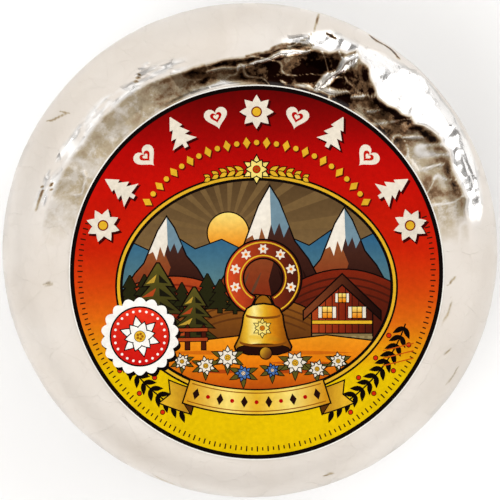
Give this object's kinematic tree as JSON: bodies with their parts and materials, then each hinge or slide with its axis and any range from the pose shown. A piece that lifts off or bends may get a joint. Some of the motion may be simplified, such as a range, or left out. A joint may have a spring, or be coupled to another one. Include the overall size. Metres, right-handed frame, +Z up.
{
  "type": "foil-wrapped cheese wheel",
  "caption": "Tall drum-shaped whole cheese wrapped in aluminium foil, with a raised foil rim round half of its upper face and a round printed paper label beside it.",
  "frame": {"origin": "middle of the flat underside that the wheel stands on", "axes": "+Z up through the labelled face, +Y towards the top of the label's design, +X to its right"},
  "size_m": [0.1162, 0.1157, 0.0868],
  "materials": {
    "foil": "thin household-weight foil, satin on the flat parts and bright where it is folded or crumpled",
    "label_paper": "coated paper with a glossy printed design in red, orange, yellow and cream, white at its cut edge"
  },
  "bodies": {
    "root": {"foil_wrap": "foil", "label": "label_paper"}
  },
  "joints": []
}
